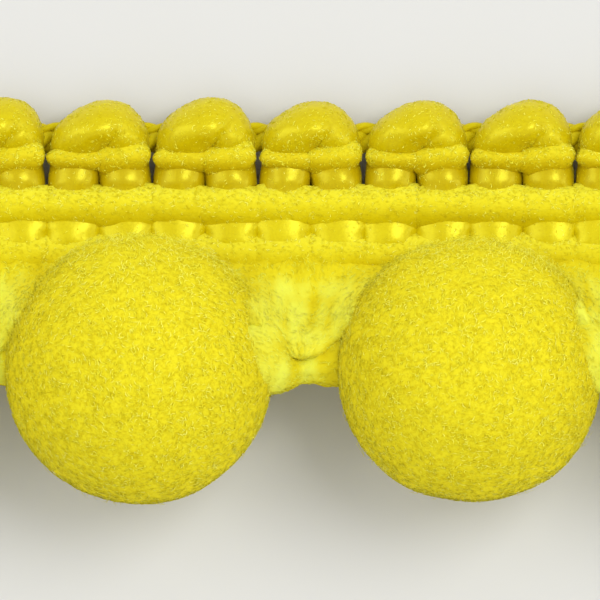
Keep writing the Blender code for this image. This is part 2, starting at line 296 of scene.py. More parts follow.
# The link of roving: share of the way into the pompom, y, z, half height, half thickness. It
# ends at a share of the pompom's radius from the centre; a cut stub has a reach of its own, and
# only so many rows.
LINK_COLUMNS = ("share", "y", "z", "half_height", "half_thickness")
LINK_LEFT = (
    (-1.0, -6.00, 5.22, 1.44, 1.34),
    (-0.82, -6.10, 5.22, 1.56, 1.40),
    (-0.58, -6.40, 4.98, 1.28, 1.26),
    (-0.30, -6.58, 4.64, 0.84, 1.00),
)
LINK_PINCH = ((0.0, -6.56, 4.46, 0.54, 0.74),)
LINK_RIGHT = (
    (0.27, -6.46, 4.50, 0.74, 0.90),
    (0.52, -6.28, 4.46, 0.96, 1.04),
    (0.76, -6.18, 4.40, 1.08, 1.06),
    (1.0, -6.22, 4.25, 0.96, 0.90),
)
LINK_END_SHARE = 0.75
STUB_REACH = 2.05 * MM
CUT_STUB_ROWS = 2
LINK_RINGS = 40
LINK_SIDES = 22
LINK_SWELL = 1.25
LINK_WAVES = ((0.05, 7, 0.16), (0.025, 11, -0.08))
LINK_FIBRES = 1400

# How uneven each yarn is: height and pitch of its bumps. Each bump is a sum of so many waves,
# and waves of all kinds start anywhere up to this phase.
SOFTNESS = {"weft": (0.014, 0.9), "stitch": (0.024, 0.6), "roving": (0.03, 0.8)}
NOISE_WAVES = 9
LAST_PHASE = 6

# The fibres by yarn: length, radius, how far they stray from their lay in radians, the heights
# of root, middle and tip over the surface, and how far they bend aside as a share of length.
FIBRE_COLUMNS = ("length", "radius", "turn", "root", "middle", "tip", "curl")
FIBRES = {
    "weft": (0.16, 0.016, 0.8, -0.02, 0.010, 0.015, 0.25),
    "stitch": (0.19, 0.018, 1.2, -0.03, 0.016, 0.016, 0.35),
    "roving": (0.30, 0.017, 0.6, -0.03, 0.014, 0.014, 0.25),
    "pile": (0.24, 0.017, 0.8, -0.02, 0.012, 0.020, 0.30),
    "stray": (0.50, 0.010, 1.2, -0.05, 0.080, 0.140, 0.50),
    "brushed": (0.50, 0.012, 1.2, -0.05, 0.080, 0.180, 0.40),
}

# How much single fibres differ in length, radius and height, and how far their shading leans
# from that of the surface: at random, to their ends and to their sides.
FIBRE_LENGTHS = (0.55, 1.4)
FIBRE_RADII = (0.75, 1.3)
FIBRE_HEIGHTS = (0.5, 1.5)
FIBRE_SPARKLE = 0.20
FIBRE_ENDS = 0.3
FIBRE_RIM = 0.6

# The dye, from the deepest to the palest, and what the yarns reflect. The lemon one is a painted
# highlight on the hangers, and the palest are painted glints on single fibres.
SHADE = (0.51, 0.37, 0.001)
GLOSSY = (0.67, 0.55, 0.003)
DEEP = (0.70, 0.57, 0.008)
BODY = (0.79, 0.695, 0.019)
LIGHT = (0.88, 0.84, 0.05)
# A painted highlight, for the bright lemon zones of the hangers.
PAINTED_LEMON_HIGHLIGHT = (0.88, 0.93, 0.10)
PAINTED_GLINT = (0.95, 0.93, 0.15)
SHEEN = (1.0, 0.85, 0.03)
GLINT = (0.95, 1.0, 0.14)
GLEAM = (0.95, 1.0, 0.09)
SHEEN_ROUGHNESS = 0.5

# The spun yarns: stops of the dye, roughness, gloss and its colour, how many streaks go around
# the yarn and to a millimetre of it, relief, and index of refraction. The felt takes one share
# of the streaks' place, and the tint of the mesh, which is painted light and shade on the wefts
# and the rows, the same share of both.
YARN_COLUMNS = ("stops", "roughness", "gloss", "glint", "around", "along", "relief", "ior")
YARNS = {
    "weft": (((0.25, SHADE), (0.50, GLOSSY), (0.75, BODY)), 0.30, 1.0, GLEAM, 26.0, 0.8, 0.3, 1.65),
    "chain": (((0.25, GLOSSY), (0.50, BODY), (0.75, LIGHT)), 0.55, 0.4, GLINT, 10.0, 2.0, 0.8, 1.5),
    # The deep yarn is the chain yarn made darker with painted shade.
    "deep": (((0.25, SHADE), (0.45, DEEP), (0.75, BODY)), 0.50, 0.6, GLINT, 10.0, 2.0, 0.8, 1.5),
}
YARN_MIX = 0.5
YARN_SHEEN = 0.2
YARN_STREAKS = {"Scale": 1.0, "Detail": 3.0, "Roughness": 0.6}
YARN_GRAIN = {"Scale": 9000.0, "Detail": 3.0, "Roughness": 0.6}
YARN_BUMP = 0.03 * MM

# The loose yarns: stops of the felt and how far it takes the tint of the mesh, which is painted
# light and shade on the hangers, and stops of the single fibres.
FELTS = {
    "loose_yarn": (((0.10, DEEP), (0.35, BODY), (0.75, PAINTED_LEMON_HIGHLIGHT)), 0.7),
    # The pompoms' core: random grain, its deep end the shade colour as painted shade between the
    # fibres.
    "pile_felt": (((0.20, SHADE), (0.55, BODY)), 0.0),
}
FUZZ = {
    # The top stop of each ramp is the painted glints.
    "yarn_fibres": ((0.0, DEEP), (0.4, BODY), (0.7, LIGHT), (1.0, PAINTED_GLINT)),
    "loose_fibres": ((0.0, DEEP), (0.3, BODY), (0.6, PAINTED_LEMON_HIGHLIGHT), (1.0, PAINTED_GLINT)),
    "pile_fibres": ((0.0, DEEP), (0.3, BODY), (0.7, LIGHT), (1.0, PAINTED_GLINT)),
}
LOOSE_GLOSS = 0.03
LOOSE_SHEEN = 0.8
FELT_ROUGHNESS = 0.8
FELT_GRAIN = {"Scale": 7000.0, "Detail": 4.0, "Roughness": 0.65}
FELT_BUMP = {"Strength": 0.3, "Distance": 0.02 * MM}
FUZZ_ROUGHNESS = 0.4

# The studio: a pale floor, three square soft lights and a white surrounding.
FLOOR_HALF = 0.6
FLOOR_COLOUR = (0.66, 0.66, 0.65)
FLOOR_ROUGHNESS = 0.9
LIGHT_COLUMNS = ("name", "location", "size", "power")
LIGHTS = (
    ("key", (0.20, 0.13, 0.42), 0.22, 0.91),
    ("side", (0.45, -0.05, 0.20), 0.25, 0.30),
    ("fill", (-0.34, 0.10, 0.34), 0.30, 0.55),
)
WORLD_STRENGTH = 0.76
CLIP_START = 0.01

UP = np.array((0.0, 0.0, 1.0))


def named(columns, rows):
    """Rows of a table as dictionaries."""
    return [dict(zip(columns, row)) for row in rows]


def unit(vectors):
    """Vectors scaled to length 1 along the last axis."""
    length = np.linalg.norm(vectors, axis=-1, keepdims=True)
    return vectors / np.maximum(length, 1e-12)


def smooth_curve(rows, count):
    """Rows of numbers, evenly spaced, read at count places on a Catmull-Rom curve."""
    rows = np.asarray(rows, float)
    padded = np.vstack((2 * rows[0] - rows[1], rows, 2 * rows[-1] - rows[-2]))
    at = np.linspace(0, len(rows) - 1, count)
    start = np.minimum(at.astype(int), len(rows) - 2)
    t = (at - start)[:, None]
    a, b, c, d = (padded[start + k] for k in range(4))
    linear = (c - a) * t
    square = (2 * a - 5 * b + 4 * c - d) * t**2
    cube = (3 * (b - c) + d - a) * t**3
    return 0.5 * (2 * b + linear + square + cube)


def wavy(waves, phases=(0.0, 0.0), wave=np.sin):
    """A relief for a tube, of waves given as height, number around it and turn in each ring."""

    def relief(angle, ring):
        """The share by which the tube is thicker at each angle of each ring."""
        total = 0.0
        for (height, around, turn), phase in zip(waves, phases):
            total = total + height * wave(around * angle + turn * ring + phase)
        return total

    return relief


def sweep(path, side, front, sides, relief=None, swell=1.0):
    """Rings of an oval tube around a path, as an array of rings by sides by 3.

    side and front are its half axes; relief(angle, ring) adds to the radius as a share, and a
    swell over 1 makes it run out softly at its sides.
    """
    along = unit(np.gradient(path, axis=0))
    across = unit(np.cross(along, UP))
    out = np.cross(across, along)
    angle = np.linspace(0, 2 * math.pi, sides, endpoint=False)[None, :]
    ring = np.arange(len(path))[:, None]
    share = 1.0 if relief is None else 1.0 + relief(angle, ring)
    x = side[:, None] * np.cos(angle) * share
    y = front[:, None] * np.sign(np.sin(angle)) * np.abs(np.sin(angle)) ** swell * share
    return path[:, None] + x[..., None] * across[:, None] + y[..., None] * out[:, None]


def band(outer, inner, front, sides, relief, fold, roundness):
    """Rings of an oval tube given by its two edges and its half thickness.

    fold goes from 0 to 1 where the yarn turns over on its inner edge and slopes down to it;
    roundness goes from nearly square at 0 to oval at 1.
    """
    angle = np.linspace(0, 2 * math.pi, sides, endpoint=False)[None, :]
    ring = np.arange(len(outer))[:, None]
    share = 1.0 + relief(angle, ring)
    middle = (outer + inner) / 2
    across = (outer - inner) / 2
    rings = middle[:, None] + across[:, None] * (np.cos(angle) * share)[..., None]
    slope = np.sign(np.sin(angle)) * (1 - np.maximum(-np.cos(angle), 0) ** FOLD_SLOPE)
    sloping = fold[:, None] * (np.cos(angle) < 0)
    oval = np.sign(np.sin(angle)) * np.abs(np.sin(angle)) ** roundness[:, None]
    height = oval * (1 - sloping) + slope * sloping
    rings[..., 2] += front[:, None] * height * share
    return rings


def soft_noise(points, rng, pitch):
    """A smooth random height, about 1 high, at each point, with bumps about pitch apart."""
    total = np.zeros(len(points))
    for _ in range(NOISE_WAVES):
        wave = rng.normal(0, 1, 3) * 2 * math.pi / pitch
        total += np.sin(points @ wave + rng.uniform(0, LAST_PHASE))
    return total / math.sqrt(NOISE_WAVES)


class Skin:
    """Closed tubes gathered into one mesh, with a direction along the yarn at each point."""

    def __init__(self):
        self.points = []
        self.lay = []
        self.uv = []
        self.faces = []
        self.count = 0

    def add(self, rings):
        """Adds a tube given as rings by sides by 3, with its two ends closed."""
        n, m = rings.shape[:2]
        index = self.count + np.arange(n * m).reshape(n, m)
        after = np.roll(index, -1, axis=1)
        quads = np.stack((index[:-1], after[:-1], after[1:], index[1:]), axis=-1).reshape(-1, 4)
        self.faces += quads[:, (0, 1, 2)].tolist()
        self.faces += quads[:, (0, 2, 3)].tolist()
        for end, ring in ((0, index[0]), (1, index[-1])):
            middle = self.count + n * m + end
            near, far = (np.roll(ring, -1), ring) if end == 0 else (ring, np.roll(ring, -1))
            self.faces += [(int(a), int(b), middle) for a, b in zip(near, far)]
        self.points.append(rings.reshape(-1, 3))
        self.points.append(rings[[0, -1]].mean(axis=1))
        along = unit(np.gradient(rings, axis=0)).reshape(-1, 3)
        self.lay.append(along)
        self.lay.append(along[[0, -1]])
        step = np.linalg.norm(np.diff(rings.mean(axis=1), axis=0), axis=1)
        travelled = np.concatenate(([0.0], np.cumsum(step))) / MM
        u, v = np.meshgrid(np.arange(m) / m, travelled)
        self.uv.append(np.stack((u, v), axis=-1).reshape(-1, 2))
        self.uv.append(np.array(((0.5, travelled[0]), (0.5, travelled[-1]))))
        self.count += n * m + 2

    def arrays(self):
        """The points, faces, lays and UVs of all the tubes."""
        return np.vstack(self.points), np.array(self.faces), np.vstack(self.lay), np.vstack(self.uv)


def point_normals(points, faces):
    """Outward normals at the points of a triangle mesh."""
    a, b, c = (points[faces[:, k]] for k in range(3))
    area = np.cross(b - a, c - a)
    normals = np.zeros_like(points)
    for k in range(3):
        np.add.at(normals, faces[:, k], area)
    return unit(normals)


def outward(points, faces):
    """The faces, turned over if the mesh they close is inside out."""
    a, b, c = (points[faces[:, k]] - points.mean(axis=0) for k in range(3))
    volume = np.einsum("ij,ij->i", a, np.cross(b, c)).sum()
    return faces if volume > 0 else faces[:, ::-1]


def make_object(name, points, faces, material, uv=None, tint=None, normals=None):
    """A smooth triangle mesh as an object, with its material."""
    mesh = bpy.data.meshes.new(name)
    mesh.vertices.add(len(points))
    mesh.vertices.foreach_set("co", points.astype(np.float32).ravel())
    mesh.loops.add(faces.size)
    mesh.loops.foreach_set("vertex_index", faces.astype(np.int32).ravel())
    mesh.polygons.add(len(faces))
    mesh.polygons.foreach_set("loop_start", np.arange(0, faces.size, 3, dtype=np.int32))
    mesh.update(calc_edges=True)
    mesh.shade_smooth()
    if uv is not None:
        layer = mesh.uv_layers.new(name="UVMap")
        layer.data.foreach_set("uv", uv[faces.ravel()].astype(np.float32).ravel())
    if tint is not None:
        shade = mesh.attributes.new("tint", "FLOAT", "POINT")
        shade.data.foreach_set("value", tint.astype(np.float32))
    if normals is not None:
        mesh.normals_split_custom_set_from_vertices(normals.tolist())
    obj = bpy.data.objects.new(name, mesh)
    obj.data.materials.append(material)
    bpy.context.scene.collection.objects.link(obj)
    return obj


def softened(points, faces, rng, yarn):
    """The points moved in and out a little, as loose yarn is never even; flat on the floor."""
    height, pitch = SOFTNESS[yarn]
    bumps = height * MM * soft_noise(points, rng, pitch * MM)
    moved = points + point_normals(points, faces) * bumps[:, None]
    moved[:, 2] = np.maximum(moved[:, 2], 0.0)
    return moved


def trimmed(points, short=0.0):
    """The points with what reaches past the cut ends, or short of them, pressed back."""
    end = HALF_LENGTH - short
    points[:, 0] = np.clip(points[:, 0], -end, end)
    return points


def scatter(points, faces, lay, count, rng, keep):
    """count places spread over a skin, as thickly as keep(at) says: position, normal and lay."""
    a, b, c = (points[faces[:, k]] for k in range(3))
    area = np.linalg.norm(np.cross(b - a, c - a), axis=1)
    area = area * keep((a + b + c) / 3)
    picked = rng.choice(len(faces), count, p=area / area.sum())
    u, v = rng.random((2, count, 1))
    fold = u + v > 1
    u, v = np.where(fold, 1 - u, u), np.where(fold, 1 - v, v)
    normals = point_normals(points, faces)

    def mix(values):
        """The values at the places, from those at the points of the skin."""
        p, q, r = (values[faces[picked, k]] for k in range(3))
        return p + (q - p) * u + (r - p) * v

    return mix(points), unit(mix(normals)), unit(mix(lay))


def fibres(places, rng, yarn):
    """Bent slivers of fibre that lie on a surface: their points, faces, tints and normals.

    places are positions, normals and lays. Each fibre is shaded mostly as the surface it lies
    on, as fine pile is.
    """
    position, normal, lay = places
    size = dict(zip(FIBRE_COLUMNS, FIBRES[yarn]))
    count = len(position)
    flat = unit(lay - normal * np.sum(lay * normal, axis=1, keepdims=True))
    angle = rng.normal(0, size["turn"], (count, 1))
    ahead = flat * np.cos(angle) + np.cross(normal, flat) * np.sin(angle)
    aside = np.cross(normal, ahead)
    reach = size["length"] * MM * rng.uniform(*FIBRE_LENGTHS, (count, 1))
    bend = reach * rng.normal(0, size["curl"], (count, 1))
    thick = size["radius"] * MM * rng.uniform(*FIBRE_RADII, (count, 1))
    heights = (size[part] * MM for part in ("root", "middle", "tip"))
    root, middle, tip = (height * rng.uniform(*FIBRE_HEIGHTS, (count, 1)) for height in heights)
    shade = unit(normal + rng.normal(0, FIBRE_SPARKLE, (count, 3)))
    points = np.empty((count, 5, 3))
    normals = np.empty((count, 5, 3))
    points[:, 0] = position - ahead * reach / 2 + normal * root
    points[:, 4] = position + ahead * reach / 2 + normal * tip
    normals[:, 0] = shade - FIBRE_ENDS * ahead
    normals[:, 4] = shade + FIBRE_ENDS * ahead
    for k in range(3):
        around = 2 * math.pi * (k + 0.25) / 3
        rim = aside * math.cos(around) + normal * math.sin(around)
        points[:, 1 + k] = position + aside * bend + normal * middle + rim * thick
        normals[:, 1 + k] = shade + FIBRE_RIM * rim
    points[:, :, 2] = np.maximum(points[:, :, 2], 0.0)
    pattern = []
    for k in range(3):
        after = (k + 1) % 3
        pattern += [(0, 1 + after, 1 + k), (1 + k, 1 + after, 4)]
    faces = (np.arange(count)[:, None, None] * 5 + np.array(pattern)[None]).reshape(-1, 3)
    tint = np.repeat(rng.random(count), 5)
    return points.reshape(-1, 3), faces, tint, unit(normals.reshape(-1, 3))


def merged(*parts):
    """Several sets of fibres as one."""
    start = np.cumsum([0] + [len(part[0]) for part in parts[:-1]])
    points = np.vstack([part[0] for part in parts])
    faces = np.vstack([part[1] + first for part, first in zip(parts, start)])
    tint = np.concatenate([part[2] for part in parts])
    return points, faces, tint, np.vstack([part[3] for part in parts])


def new_material(name):
    """A node material, and the function that links its sockets."""
    material = bpy.data.materials.new(name)
    material.use_nodes = True
    return material, material.node_tree.links.new


def add_node(material, kind, **values):
    """A node in a material, with values for its named sockets."""
    node = material.node_tree.nodes.new(kind)
    for name, value in values.items():
        node.inputs[name].default_value = value
    return node


def dyed_shader(material, roughness, specular, glint, sheen):
    """The Principled shader of a dyed fibre: what it reflects is yellow too."""
    shader = material.node_tree.nodes["Principled BSDF"]
    shader.inputs["Roughness"].default_value = roughness
    shader.inputs["Specular IOR Level"].default_value = specular
    shader.inputs["Specular Tint"].default_value = (*glint, 1.0)
    shader.inputs["Sheen Weight"].default_value = sheen
    shader.inputs["Sheen Roughness"].default_value = SHEEN_ROUGHNESS
    shader.inputs["Sheen Tint"].default_value = (*SHEEN, 1.0)
    return shader


def add_tint(material):
    """A node that reads the tint of each point of the mesh."""
    node = add_node(material, "ShaderNodeAttribute")
    node.attribute_name = "tint"
    return node


def add_ramp(material, stops):
    """A colour ramp with its stops: place and colour of each."""
    ramp = add_node(material, "ShaderNodeValToRGB")
    elements = ramp.color_ramp.elements
    while len(elements) < len(stops):
        elements.new(0.5)
    for element, (place, colour) in zip(elements, stops):
        element.position = place
        element.color = (*colour, 1.0)
    return ramp


def fibre_material(name, stops):
    """Single fibres: each its own shade of the dye, a few of them painted pale as glints."""
    material, link = new_material(name)
    shader = dyed_shader(material, FUZZ_ROUGHNESS, LOOSE_GLOSS, SHEEN, LOOSE_SHEEN)
    tint = add_tint(material)
    ramp = add_ramp(material, stops)
    link(tint.outputs["Fac"], ramp.inputs["Fac"])
    link(ramp.outputs["Color"], shader.inputs["Base Color"])
    return material


def yarn_material(name, yarn):
    """Bulked yarn: filament streaks along its length under a fine felt, with a little relief, and
    the painted light and shade that the tint of the mesh brings.
    """
    look = dict(zip(YARN_COLUMNS, yarn))
    material, link = new_material(name)
    shader = dyed_shader(material, look["roughness"], look["gloss"], look["glint"], YARN_SHEEN)
    shader.inputs["IOR"].default_value = look["ior"]
    place = add_node(material, "ShaderNodeUVMap")
    place.uv_map = "UVMap"
    stretch = add_node(material, "ShaderNodeMapping", Scale=(look["around"], look["along"], 1.0))
    streaks = add_node(material, "ShaderNodeTexNoise", **YARN_STREAKS)
    space = add_node(material, "ShaderNodeTexCoord")
    felt = add_node(material, "ShaderNodeTexNoise", **YARN_GRAIN)
    both = add_node(material, "ShaderNodeMix", Factor=YARN_MIX)
    tint = add_tint(material)
    tinted = add_node(material, "ShaderNodeMix", Factor=YARN_MIX)
    ramp = add_ramp(material, look["stops"])
    bump = add_node(material, "ShaderNodeBump", Strength=look["relief"], Distance=YARN_BUMP)
    link(place.outputs["UV"], stretch.inputs["Vector"])
    link(stretch.outputs["Vector"], streaks.inputs["Vector"])
    link(space.outputs["Object"], felt.inputs["Vector"])
    link(streaks.outputs["Fac"], both.inputs["A"])
    link(felt.outputs["Fac"], both.inputs["B"])
    link(both.outputs["Result"], tinted.inputs["A"])
    link(tint.outputs["Fac"], tinted.inputs["B"])
    link(tinted.outputs["Result"], ramp.inputs["Fac"])
    link(both.outputs["Result"], bump.inputs["Height"])
    link(ramp.outputs["Color"], shader.inputs["Base Color"])
    link(bump.outputs["Normal"], shader.inputs["Normal"])
    return material


def felt_material(name, stops, tinted):
    """The matted ground between loose fibres, paler by the tint of the mesh, which is painted light
    and shade, as far as tinted.
    """
    material, link = new_material(name)
    shader = dyed_shader(material, FELT_ROUGHNESS, LOOSE_GLOSS, SHEEN, LOOSE_SHEEN)
    space = add_node(material, "ShaderNodeTexCoord")
    fine = add_node(material, "ShaderNodeTexNoise", **FELT_GRAIN)
    tint = add_tint(material)
    both = add_node(material, "ShaderNodeMix", Factor=tinted)
    ramp = add_ramp(material, stops)
    bump = add_node(material, "ShaderNodeBump", **FELT_BUMP)
    link(space.outputs["Object"], fine.inputs["Vector"])
    link(fine.outputs["Fac"], both.inputs["A"])
    link(tint.outputs["Fac"], both.inputs["B"])
    link(both.outputs["Result"], ramp.inputs["Fac"])
    link(fine.outputs["Fac"], bump.inputs["Height"])
    link(ramp.outputs["Color"], shader.inputs["Base Color"])
    link(bump.outputs["Normal"], shader.inputs["Normal"])
    return material


def floor_material():
    """Plain pale paper."""
    material, _ = new_material("floor_paper")
    shader = material.node_tree.nodes["Principled BSDF"]
    shader.inputs["Base Color"].default_value = (*FLOOR_COLOUR, 1.0)
    shader.inputs["Roughness"].default_value = FLOOR_ROUGHNESS
    return material


def dress(name, points, faces, material, nodes=(), uv=None, tint=None):
    """Makes a piece that rides on the one body and stands for CAD nodes, which it hides."""
    obj = make_object(name, points, faces, material, uv, tint)
    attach(obj, "root")
    if nodes:
        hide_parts(*nodes)


def dress_fibres(name, tufts, material):
    """The same for a set of fibres, which adds to a form and replaces nothing."""
    points, faces, tint, normals = tufts
    obj = make_object(name, points, faces, material, tint=tint, normals=normals)
    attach(obj, "root")


def weft_rings(index, rng):
    """One weft of the heading, with small differences from scallop to scallop."""
    foot = np.array(WEFT_FOOT)
    other = foot[::-1].copy()
    other[:, (0, 2)] = SCALLOP_PITCH / MM - other[:, (0, 2)]
    table = smooth_curve(np.vstack((foot, WEFT_SCALLOP, other)), WEFT_RINGS)
    row = dict(zip(WEFT_COLUMNS, table.T))
    width = COLUMN_PITCH / MM
    slack = np.where(row["outer_y"] < SCALLOP_Y, rng.uniform(*WEFT_SLACK), 1.0)
    for edge in ("outer_x", "inner_x"):
        seam = width * np.round(row[edge] / width)
        row[edge] = seam + (row[edge] - seam) * slack
    arch = np.clip((row["outer_y"] - ARCH_START) / ARCH_RISE, 0, 1)
    aside = arch * rng.normal(0, ARCH_LEAN)
    taller = 1 + arch * rng.normal(0, ARCH_GROWTH)
    start = index * SCALLOP_PITCH / MM - HALF_LENGTH / MM
    outer_x = start + row["outer_x"] + aside
    inner_x = start + row["inner_x"] + aside / 2
    outer = np.stack((outer_x, row["outer_y"] * taller, row["outer_z"]), axis=1)
    inner = np.stack((inner_x, row["inner_y"], row["inner_z"]), axis=1)
    relief = wavy(WEFT_WAVES, rng.uniform(0, LAST_PHASE, 2))
    roundness = np.interp(row["outer_y"], *zip(*WEFT_ROUNDNESS))
    return band(outer * MM, inner * MM, row["front"] * MM, WEFT_SIDES, relief, arch, roundness)


def scallops_first(at):
    """How thickly fibres lie on the wefts: most on the scallops, fewest at the back."""
    _, y, z = at.T / MM
    front = np.where(z > WEFT_MIDDLE_Z, 1.0, WEFT_FUZZ_BEHIND)
    return front * np.where(y > SCALLOP_Y, WEFT_FUZZ_SCALLOP, 1.0)


def painted_weft_light(points):
    """How pale a weft is, in painted light and shade: painted shade in the recess under the upper
    stitches and where it turns on its fold, paler below and on the scallops.
    """
    x, y, _ = points.T / MM
    x = (x + HALF_LENGTH / MM) % (SCALLOP_PITCH / MM)
    fold_x, fold_y = WEFT_FOLD
    away = np.hypot(x - fold_x, y - fold_y) / FOLD_SHADE_REACH
    return np.interp(y, *zip(*WEFT_PAINTED_LIGHT)) * (1 - np.exp(-(away**2)))


def make_wefts(yarn, fuzz):
    """The thirteen wefts, and the few filaments that lie loose along them."""
    rng = np.random.default_rng(WEFT_SEED)
    skin = Skin()
    for index in range(SCALLOP_COUNT):
        skin.add(weft_rings(index, rng))
    points, faces, lay, uv = skin.arrays()
    faces = outward(points, faces)
    points = softened(points, faces, rng, "weft")
    # The tint is painted shade in the recess and at the fold, and painted light on the rest.
    tint = painted_weft_light(points)
    points = trimmed(points)
    dress("heading_wefts", points, faces, yarn, ("heading",), uv=uv, tint=tint)
    places = scatter(points, faces, lay, WEFT_FIBRES * SCALLOP_COUNT, rng, scallops_first)
    dress_fibres("heading_weft_fibres", fibres(places, rng, "weft"), fuzz)


def stitch_rings(row, column, rng):
    """One chain stitch: a soft pad across its column, ridged by the plies that turn in it."""
    right = column % 2
    middle = (column + 0.5) * COLUMN_PITCH - HALF_LENGTH
    share = np.sin(np.linspace(-1, 1, STITCH_RINGS) * math.pi / 2)
    drawn = 1 - row["pinch"] * np.abs(share) ** PINCH_POWER
    dip = STITCH_DIP * np.abs(share) ** STITCH_DIP_POWER
    tilt = math.tan(math.radians(row["tilt_deg"])) * (1 if right else LEFT_TILT)
    clear = row["clear"] * MM
    x = share * (STITCH_OVERLAP * COLUMN_PITCH - clear) / 2
    path = np.empty((STITCH_RINGS, 3))
    path[:, 0] = middle + x + clear / 2 * (-1 if right else 1)
    path[:, 1] = (row["y"] + row["lift"] * right + rng.normal(0, STITCH_STRAY)) * MM + tilt * x
    path[:, 2] = (row["z"] + rng.normal(0, STITCH_STRAY) - dip) * MM
    larger = row["larger"] if right else 1
    high = row["half"] * larger * drawn * rng.uniform(*STITCH_HEIGHTS) * MM
    out = row["front"] * np.sqrt(drawn) * rng.uniform(*STITCH_DEPTHS) * MM
    relief = wavy(STITCH_WAVES, rng.uniform(0, LAST_PHASE, 2), np.cos)
    return sweep(path, high, out, STITCH_SIDES, relief, row["swell"])


def upward(points, row):
    """How far up a row of stitches points are, from 0 at its lower edge to its most above."""
    above = (points[:, 1] / MM - row["y"]) / row["half"]
    return np.clip(UPWARD_MIDDLE + UPWARD_RISE * above, 0, UPWARD_MOST)


def fuzzy(row, at):
    """How thickly fibres lie on a row of stitches: on its front, and most at its upper edge."""
    return (at[:, 2] > row["z"] * MM) * (STITCH_FUZZ + STITCH_FUZZ_ABOVE * upward(at, row))


def make_stitches(yarns, fuzz):
    """The rows of chain stitch, those in front under a short curly fuzz."""
    rng = np.random.default_rng(STITCH_SEED)
    for number, row in enumerate(named(ROW_COLUMNS, STITCH_ROWS), start=1):
        skin = Skin()
        for column in range(2 * SCALLOP_COUNT):
            skin.add(stitch_rings(row, column, rng))
        points, faces, lay, uv = skin.arrays()
        faces = outward(points, faces)
        points = softened(points, faces, rng, "stitch")
        points = trimmed(points, row["short"] * MM)
        name = f"heading_row_{number}"
        # The tint paints each row pale at its upper edge and in shade at its lower edge.
        tint = upward(points, row)
        dress(name, points, faces, yarns[row["yarn"]], uv=uv, tint=tint)
        if row["fibres"]:
            count = row["fibres"] * 2 * SCALLOP_COUNT
            places = scatter(points, faces, lay, count, rng, partial(fuzzy, row))
            tufts = fibres(places, rng, "stitch")
            dress_fibres(f"{name}_fibres", tufts, fuzz)


def make_threads(yarn):
    """The selvedge behind the scallops: two chains, each of two turning plies."""
    skin = Skin()
    x = np.linspace(-1, 1, THREAD_RINGS) * (HALF_LENGTH - THREAD_SHORT)
    for number, thread in enumerate(named(THREAD_COLUMNS, THREADS)):
        radius = thread["radius"] * MM
        for ply in range(2):
            turn = THREAD_HALF_TURNS * math.pi * x / COLUMN_PITCH + math.pi * ply + number
            y = thread["y"] * MM + PLY_DISTANCE * radius * np.sin(turn)
            z = thread["z"] * MM + PLY_DISTANCE * radius * np.cos(turn)
            thick = np.full(THREAD_RINGS, PLY_RADIUS * radius)
            skin.add(sweep(np.stack((x, y, z), axis=1), thick, thick, THREAD_SIDES))
    points, faces, _, uv = skin.arrays()
    faces = outward(points, faces)
    dress("heading_selvedge", points, faces, yarn, uv=uv)


def pompom_places():
    """Centre, radius and seed of each pompom."""
    places = []
    for i, row in enumerate(named(POMPOM_COLUMNS, POMPOMS)):
        x = (i - (POMPOM_COUNT - 1) / 2) * POMPOM_PITCH + row["lean"] * MM
        radius = row["radius"] * MM
        centre = np.array((x, row["centre_y"] * MM, radius - FLAT_SPOT_DEPTH))
        places.append((centre, radius, row["seed"]))
    return places


def pile_reach(direction, radius, coarse, fine):
    """How far the sheared pile reaches in each direction, with its lumps and hollows.

    coarse and fine are the seeds of the lumps, so that core and fibres share them.
    """
    lumps = np.zeros(len(direction))
    for (height, pitch), seed in zip(PILE_LUMPS, (coarse, fine)):
        lumps += height * soft_noise(direction, np.random.default_rng(seed), pitch)
    depth = np.zeros(len(direction))
    for hollow in named(HOLLOW_COLUMNS, HOLLOWS):
        azimuth = math.radians(hollow["azimuth"])
        elevation = math.radians(hollow["elevation"])
        level = math.cos(elevation)
        axis = np.array((level * math.cos(azimuth), level * math.sin(azimuth), math.sin(elevation)))
        away = np.degrees(np.arccos(np.clip(direction @ axis, -1, 1)))
        t = np.clip((hollow["rim"] - away) / (hollow["rim"] - hollow["floor"]), 0, 1)
        depth = np.maximum(depth, hollow["depth"] * t * t * (3 - 2 * t))
    return radius * (1 - depth) + lumps * MM


def ball(subdivisions):
    """Directions and faces of an even ball of triangles."""
    bpy.ops.mesh.primitive_ico_sphere_add(subdivisions=subdivisions, radius=1.0)
    obj = bpy.context.object
    directions = np.array([v.co[:] for v in obj.data.vertices])
    faces = np.array([p.vertices[:] for p in obj.data.polygons])
    bpy.data.objects.remove(obj, do_unlink=True)
    return unit(directions), faces


def pile_directions(rng):
    """Directions of the even pile, then of the strays, then of the brushed upper rim."""
    even = unit(rng.normal(0, 1, (PILE_FIBRES + PILE_STRAYS, 3)))
    tried = unit(rng.normal(0, 1, (PILE_BRUSHED * BRUSHED_TRIES, 3)))
    upper = (tried[:, 1] > BRUSHED_UP) & (np.abs(tried[:, 2] - BRUSHED_LEVEL) < BRUSHED_NEAR)
    return np.vstack((even, tried[upper][:PILE_BRUSHED]))


def pile_flow(out, rng):
    """The way the pile leans in each direction: in swirls, and with the nap."""
    swirls = []
    for _ in range(3):
        wave = rng.normal(0, PILE_SWIRL, 3)
        swirls.append(np.sin(out @ wave + rng.uniform(0, LAST_PHASE)))
    return np.stack(swirls, axis=1) + np.array(PILE_NAP)


